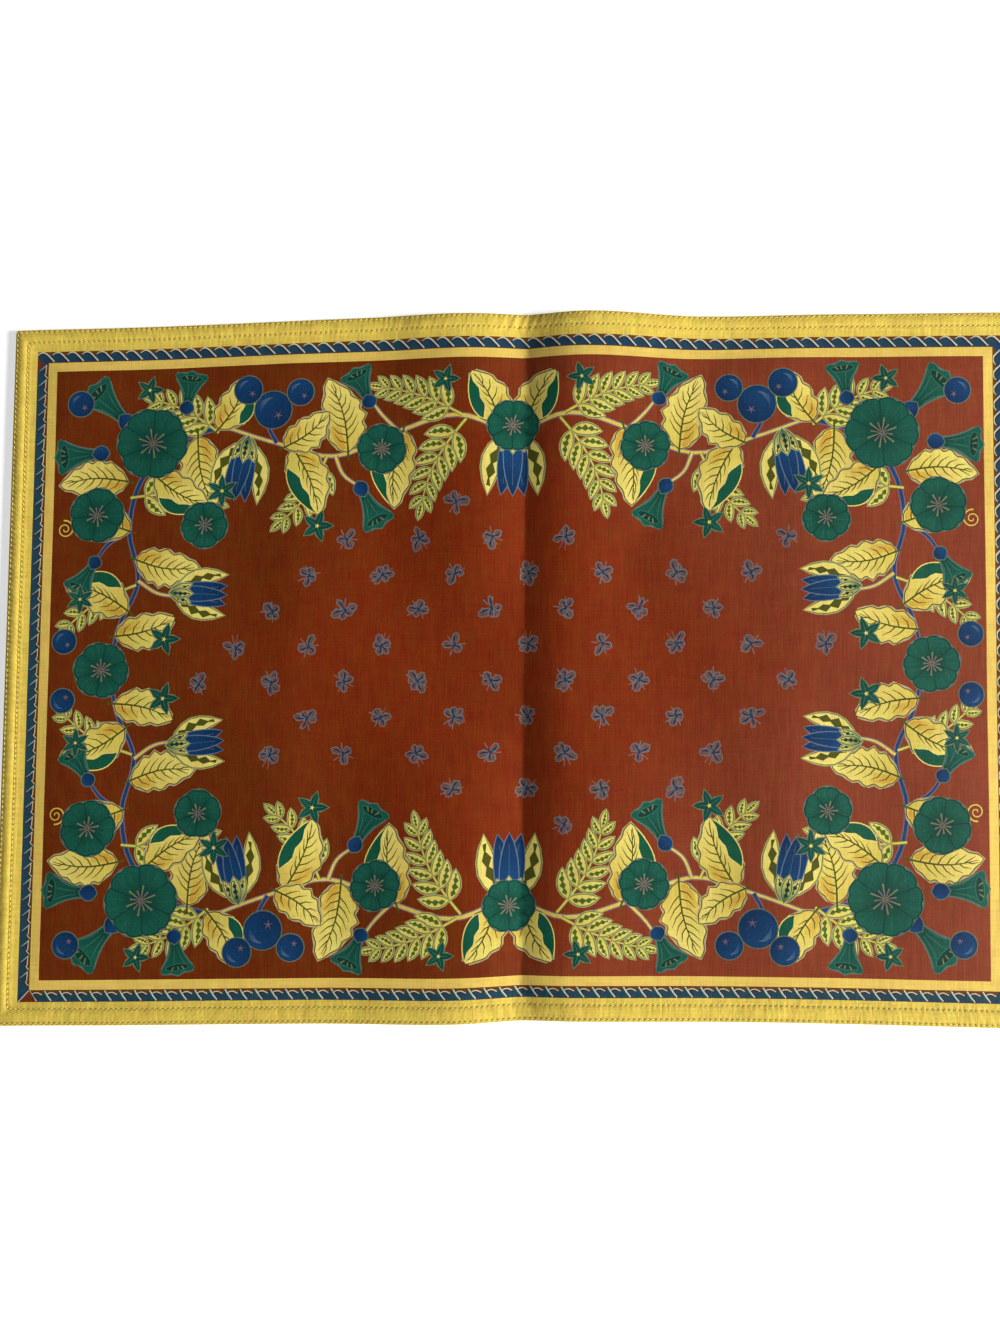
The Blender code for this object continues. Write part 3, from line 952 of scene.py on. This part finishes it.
holes = np.zeros(len(flat))
holes[:starts[1]] = is_hole(top_insets)
holes[starts[2]:starts[3]] = is_hole(under_insets[1:])
top, underside = top_height(*flat.T) - HOLE_DEPTH * holes, underside_height(*flat.T) + HOLE_DEPTH / 2 * holes
height = np.where(np.arange(len(flat)) < starts[2], top, underside)
height[:STATIONS] = HEM_TOP[0][1] + crease_lift(*flat[:STATIONS].T)

cloth = bpy.data.meshes.new("woven_mat")
cloth.from_pydata(laid(*flat.T, height), [], triangles)
cloth.polygons.foreach_set("material_index", is_wrong_side.astype(np.int32))
cloth.shade_smooth()
cloth.update()

normals = np.empty(len(flat) * 3)
cloth.vertex_normals.foreach_get("vector", normals)
normals = normals.reshape(-1, 3)
normals[starts[1]:starts[2]] = facing(*flat[starts[1]:starts[2]].T, top_height)
normals[starts[3]:] = -facing(*flat[starts[3]:].T, underside_height)
cloth.normals_split_custom_set_from_vertices(normals)

corner_inks = np.empty((len(triangles), 3, 4))
corner_inks[:] = INKS["hem"] + (1.0,)
corner_inks[is_face] = face_inks
corner_inks[is_wrong_side, :, :3] = ghost(face, face_triangles, face_inks, flat)[triangles[is_wrong_side]]
for name, kind, domain, field, values in (
    ("ink", "FLOAT_COLOR", "CORNER", "color", corner_inks),
    ("flat", "FLOAT_VECTOR", "POINT", "vector", np.column_stack([flat, np.zeros(len(flat))])),
    ("hole", "FLOAT", "POINT", "value", holes),
):
    cloth.attributes.new(name, kind, domain).data.foreach_set(field, values.ravel())

# The UV map OFBake: the printed side fills the lower part, the wrong side, squeezed, the strip above it.
STRIP_START, STRIP_SQUEEZE = 0.70, 0.43
unwrapped = (flat[triangles] + (HALF_X, HALF_Y)) / MAT_LENGTH
unwrapped[is_below] = unwrapped[is_below] * (1, STRIP_SQUEEZE) + (0, STRIP_START)
cloth.uv_layers.new(name="OFBake").data.foreach_set("uv", unwrapped.ravel())


class Signal:
    """One output of a shader's nodes.  Arithmetic on it adds Math nodes, node() adds any other node."""

    def __init__(self, tree, socket=None):
        self.tree = tree
        self.socket = socket

    def node(self, kind, settings=None, inputs=None, output=0):
        """A new node of a kind, its settings set first, then the values or links of its inputs."""
        made = self.tree.nodes.new("ShaderNode" + kind)
        for name, value in (settings or {}).items():
            setattr(made, name, value)
        for name, value in (inputs or {}).items():
            if isinstance(value, Signal):
                self.tree.links.new(value.socket, made.inputs[name])
            else:
                made.inputs[name].default_value = value
        return Signal(self.tree, made.outputs[output])

    def maths(self, operation, *values):
        return self.node("Math", {"operation": operation}, dict(enumerate(values)))

    def __add__(self, other):
        return self.maths("ADD", self, other)

    def __sub__(self, other):
        return self.maths("SUBTRACT", self, other)

    def __rsub__(self, other):
        return self.maths("SUBTRACT", other, self)

    def __mul__(self, other):
        return self.maths("MULTIPLY", self, other)

    def __pow__(self, other):
        return self.maths("POWER", self, other)

    def __abs__(self):
        return self.maths("ABSOLUTE", self)

    __radd__ = __add__
    __rmul__ = __mul__

    def sine(self):
        return self.maths("SINE", self)

    def sibling(self, output):
        """Another output of the same node."""
        return Signal(self.tree, self.socket.node.outputs[output])

    def attribute(self, name, output):
        return self.node("Attribute", {"attribute_name": name}, None, output)

    def noise(self, x, y, detail=2.0, roughness=0.5):
        """Noise between 0 and 1 that changes over about one unit of x and of y."""
        place = self.node("CombineXYZ", None, {0: x, 1: y})
        inputs = {"Vector": place, "Scale": 1.0, "Detail": detail, "Roughness": roughness}
        return self.node("TexNoise", {"noise_dimensions": "2D"}, inputs)

    def band(self, value, low, high):
        """0 below low, 1 above high, with a smooth rise between."""
        inputs = {"Value": value, "From Min": low, "From Max": high}
        return self.node("MapRange", {"interpolation_type": "SMOOTHSTEP"}, inputs)

    def mixed(self, amount, colour, other, blend="MIX"):
        """Two colours mixed by an amount."""
        settings = {"data_type": "RGBA", "blend_type": blend}
        return self.node("Mix", settings, {0: amount, 6: colour, 7: other}, 2)

    def bumped(self, strength, distance, height):
        """Normal of a surface with a height on it, its distance in metres."""
        return self.node("Bump", None, {"Strength": strength, "Distance": distance, "Height": height})


def finish(name, constants):
    """A new material with constants on its shader's own sockets, a Signal to build on, and a function that
    feeds a signal into one of the sockets."""
    material = bpy.data.materials.new(name)
    material.use_nodes = True
    shader = material.node_tree.nodes["Principled BSDF"]
    for socket, value in constants.items():
        shader.inputs[socket].default_value = value

    def feed(socket, signal):
        material.node_tree.links.new(signal.socket, shader.inputs[socket])

    return material, Signal(material.node_tree), feed


THREAD_PITCH = (0.50, 0.56)
FLECK_COLOUR = (0.45, 0.21, 0.10, 1.0)
# How far from the middle lines the sewing begins to draw the cloth up, and where it does so fully.
DRAWN_UP_SIDE, DRAWN_UP_END = (148.0, 156.0), (225.0, 233.0)
# The rust ground carries painted shade at the left end, away from the window light, and a pale, hazy painted
# sheen at the right one, first of all along the two sides: how far along the mat each change starts and
# ends, and what it adds to the ground's red, green and blue.
LEAN_OF_CHANGE = 0.9
PAINTED_SHADE_FROM, PAINTED_SHADE = (-80.0, -180.0), (-0.25, 0.05, 0.0)
PAINTED_SHEEN_FROM, PAINTED_SHEEN = (70.0, 200.0), (0.16, 0.75, 12.0)


def woven_cotton(name, sheen):
    """Plain-woven cotton that takes its colour from the ink attribute: threads that cross over and under,
    with painted shade in the gaps between them, uneven threads that show as streaks, narrow ripples along
    the sewn edges with painted light and shade on them, flecks where ink missed the cloth, and painted shade
    in the needle holes."""
    material, start, feed = finish(name, {
        "Sheen Weight": sheen, "Sheen Roughness": 0.45, "Specular IOR Level": 0.05,
    })
    x = start.node("SeparateXYZ", None, {0: start.attribute("flat", "Vector")})
    y = x.sibling(1)
    ink = start.attribute("ink", "Color")
    printed = ink.sibling("Alpha")
    hole = start.attribute("hole", "Fac")

    warp_streak = start.noise(x * 1.35, y * 0.055, 3.0, 0.62)
    weft_streak = start.noise(x * 0.05 + 7.3, y * 1.2, 3.0, 0.62)
    cloudy = start.noise(x * 0.09 + 3.1, y * 0.09, 2.0)
    warp = (x * (np.pi / THREAD_PITCH[0]) + warp_streak * 2.2).sine()
    weft = (y * (np.pi / THREAD_PITCH[1]) + weft_streak * 2.2).sine()
    weave = abs(warp * weft) ** 0.6

    # Painted shade: the gaps between the threads darker than their crowns.  The streaks and the cloudiness
    # are the cloth's own uneven tone.
    light = 0.80 + 0.20 * weave + (warp_streak - 0.5) * (0.62 - 0.26 * printed)
    light = light + (weft_streak - 0.5) * 0.26 + (cloudy - 0.5) * 0.16
    by_side, by_end = start.band(abs(y), *DRAWN_UP_SIDE), start.band(abs(x), *DRAWN_UP_END)
    drawn_up = (start.noise(x * 0.60, y * 0.12 + 4.0, 3.0, 0.6) - 0.5) * by_side
    drawn_up = drawn_up + (start.noise(x * 0.12 + 9.0, y * 0.60, 3.0, 0.6) - 0.5) * by_end
    # Painted light and shade on the ripples along the sewn edges, and painted shade in the needle holes.
    light = (light + drawn_up * 0.32) * (1 - 0.62 * hole ** 1.6)
    warmth = start.noise(x * 0.16 + 5.7, y * 0.11, 3.0) - 0.5
    ground = (1 - printed) ** 8
    # Painted shade on the bare ground at the left end, and a pale, hazy painted sheen at its right end.
    painted_shade = ground * (1 - start.band(x - LEAN_OF_CHANGE * abs(y), *PAINTED_SHADE_FROM[::-1]))
    painted_sheen = ground * start.band(x + LEAN_OF_CHANGE * abs(y), *PAINTED_SHEEN_FROM)
    red, green, blue = [light * (1 + painted_shade * less + painted_sheen * more) for less, more in zip(PAINTED_SHADE, PAINTED_SHEEN)]
    green = green + light * warmth * (0.9 - 0.7 * printed)
    tint = start.node("CombineColor", None, {0: red, 1: green, 2: blue})
    colour = start.mixed(1.0, ink, tint, "MULTIPLY")
    fleck = start.band(start.noise(x * 2.3, y * 1.1 + 11.0, 1.0), 0.70, 0.82) * 0.14
    feed("Base Color", start.mixed(fleck, colour, FLECK_COLOUR))
    feed("Roughness", 0.66 - 0.06 * weave)
    feed("Normal", start.bumped(0.55, 0.00016, weave * (0.75 + 0.5 * warp_streak) + 1.8 * drawn_up))
    return material


def in_scene(name, data):
    """A new object of some data, linked to the scene."""
    made = bpy.data.objects.new(name, data)
    bpy.context.scene.collection.objects.link(made)
    return made


mat = in_scene("woven_mat", cloth)
cloth.materials.append(woven_cotton("printed_cotton_face", 0.02))
cloth.materials.append(woven_cotton("printed_cotton_wrong_side", 0.20))


# ---- Topstitching -------------------------------------------------------------------------------------
# Two rows of lockstitch in yellow thread round the hem, one on the fold's edge and one on the hem's inner
# edge, seen on both faces.  Each stitch is a short bent capsule that goes down into a needle hole.
THREAD_RADIUS = 0.17
STITCH_RISE = 0.06
SUNK_ON_TOP, SUNK_BELOW = 0.75, 0.4
THREAD_SIDES = 5
STITCH_RINGS = 5
THREAD_DARK, THREAD_LIGHT = (0.44, 0.32, 0.05, 1.0), (0.66, 0.49, 0.09, 1.0)


def stitches(inset, side):
    """Corners of a row's capsules: circles along each stitch, from one needle hole over to the next, whose
    middle rises as a half sine and whose ends narrow.  Side is 1 for the printed face, -1 for the other."""
    holes = hem_loop(inset, 1)
    way = np.roll(holes, -1, axis=0) - holes
    t = np.linspace(0.04, 0.96, STITCH_RINGS)
    centre = holes[:, None] + t[:, None] * way[:, None]
    surface, sunk = (top_height, SUNK_ON_TOP) if side > 0 else (underside_height, SUNK_BELOW)
    level = STITCH_RISE * arch(t) - HOLE_DEPTH * sunk * (1 - arch(t))
    level = surface(centre[..., 0], centre[..., 1]) + side * level
    turn = around(THREAD_SIDES)
    radius = (THREAD_RADIUS * arch(0.12 + 0.76 * t) ** 0.5)[:, None]
    flat = centre[:, :, None] + left_of(unit(way))[:, None, None] * (radius * np.cos(turn))[None, ..., None]
    lift = level[..., None] + (radius * np.sin(turn))[None]
    return laid(flat[..., 0], flat[..., 1], lift).reshape(-1, 3)


def capsule_faces(count):
    """Quads round each capsule and the two caps that close it, for a number of capsules."""
    ring = np.arange(THREAD_SIDES)
    body = ring_quads(THREAD_SIDES, STITCH_RINGS)[:, [0, 3, 2, 1]]
    caps = np.array([ring, (THREAD_SIDES * (STITCH_RINGS - 1) + ring)[::-1]])
    shift = THREAD_SIDES * STITCH_RINGS * np.arange(count)[:, None, None]
    return (shift + body).reshape(-1, 4).tolist() + (shift + caps).reshape(-1, THREAD_SIDES).tolist()


def spun_thread():
    """Spun yellow thread: fine slanting ply lines along it, dull."""
    material, start, feed = finish("topstitching_thread", {"Roughness": 0.62, "Sheen Weight": 0.2})
    places = start.node("TexCoord", None, None, "Object")
    speck = start.node("TexNoise", None, {"Vector": places, "Scale": 900.0, "Detail": 1.0})
    ply = start.node("TexWave", None, {"Vector": places, "Scale": 700.0, "Distortion": 2.0})
    feed("Base Color", start.mixed(0.35 * speck + 0.35 * ply, THREAD_DARK, THREAD_LIGHT))
    feed("Normal", start.bumped(0.5, 0.00008, ply))
    return material


rows = np.vstack([stitches(inset, side) for inset in STITCH_ROWS for side in (1, -1)])
thread = bpy.data.meshes.new("topstitching")
thread.from_pydata(rows, [], capsule_faces(len(rows) // (THREAD_SIDES * STITCH_RINGS)))
thread.shade_smooth()
thread.materials.append(spun_thread())
topstitching = in_scene("topstitching", thread)

for piece in (mat, topstitching):
    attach(piece, "root")
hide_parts("placemat")


# ---- Floor, light and camera --------------------------------------------------------------------------
# A plain pale table under plain soft light: a large low lamp on the right, as from a window, and a wide
# soft one overhead.  The table glows faintly, which keeps the shadow beside the thin mat light.  The camera
# looks down from where the photograph was taken.
FLOOR_SIZE = 6.0
FLOOR_COLOUR = (0.90, 0.90, 0.90, 1.0)
FLOOR_GLOW = 0.42
SURROUNDINGS, SURROUNDINGS_STRENGTH = (0.93, 0.96, 1.0, 1.0), 0.22
CAMERA_PLACE = (0.00895, -0.02258, 0.46831)
CAMERA_TURN = (2.748, 1.747, -0.368)
CAMERA_FOCAL_PIXELS = 1001.0
PHOTO_HEIGHT = 1333
# Soft lamps, aimed at the middle of the mat, in columns: name, place, two sides, power in watts, colour.
LAMPS = (
    ("window_light", (2.3, -0.38, 0.67), (1.0, 0.7), 205.0, (1.0, 0.98, 0.95)),
    ("overhead_light", (-0.1, 0.1, 1.8), (2.4, 2.0), 6.0, (0.97, 0.98, 1.0)),
)

floor_mesh = bpy.data.meshes.new("floor")
floor_corners = FLOOR_SIZE / 2 * np.array([(-1, -1, 0), (1, -1, 0), (1, 1, 0), (-1, 1, 0)])
floor_mesh.from_pydata(floor_corners, [], [(0, 1, 2, 3)])
floor = in_scene("floor", floor_mesh)
floor_mesh.materials.append(finish("pale_floor", {
    "Base Color": FLOOR_COLOUR, "Roughness": 0.7,
    "Emission Color": FLOOR_COLOUR, "Emission Strength": FLOOR_GLOW,
})[0])

for name, place, sides, power, colour in LAMPS:
    light = bpy.data.lights.new(name, "AREA")
    light.shape = "RECTANGLE"
    light.size, light.size_y = sides
    light.energy = power
    light.color = colour
    lamp = in_scene(name, light)
    lamp.location = place
    lamp.rotation_euler = (-Vector(place)).to_track_quat("-Z", "Y").to_euler()

world = bpy.data.worlds.new("soft_surroundings")
world.use_nodes = True
world.node_tree.nodes["Background"].inputs["Color"].default_value = SURROUNDINGS
world.node_tree.nodes["Background"].inputs["Strength"].default_value = SURROUNDINGS_STRENGTH
bpy.context.scene.world = world

camera = bpy.data.cameras.new("camera")
camera.sensor_width = 36.0
camera.lens = CAMERA_FOCAL_PIXELS / PHOTO_HEIGHT * camera.sensor_width
view = in_scene("camera", camera)
view.location = np.array(CAMERA_PLACE) - MIDDLE
view.rotation_euler = np.radians(CAMERA_TURN)
bpy.context.scene.camera = view
bpy.context.scene.view_settings.view_transform = "Standard"
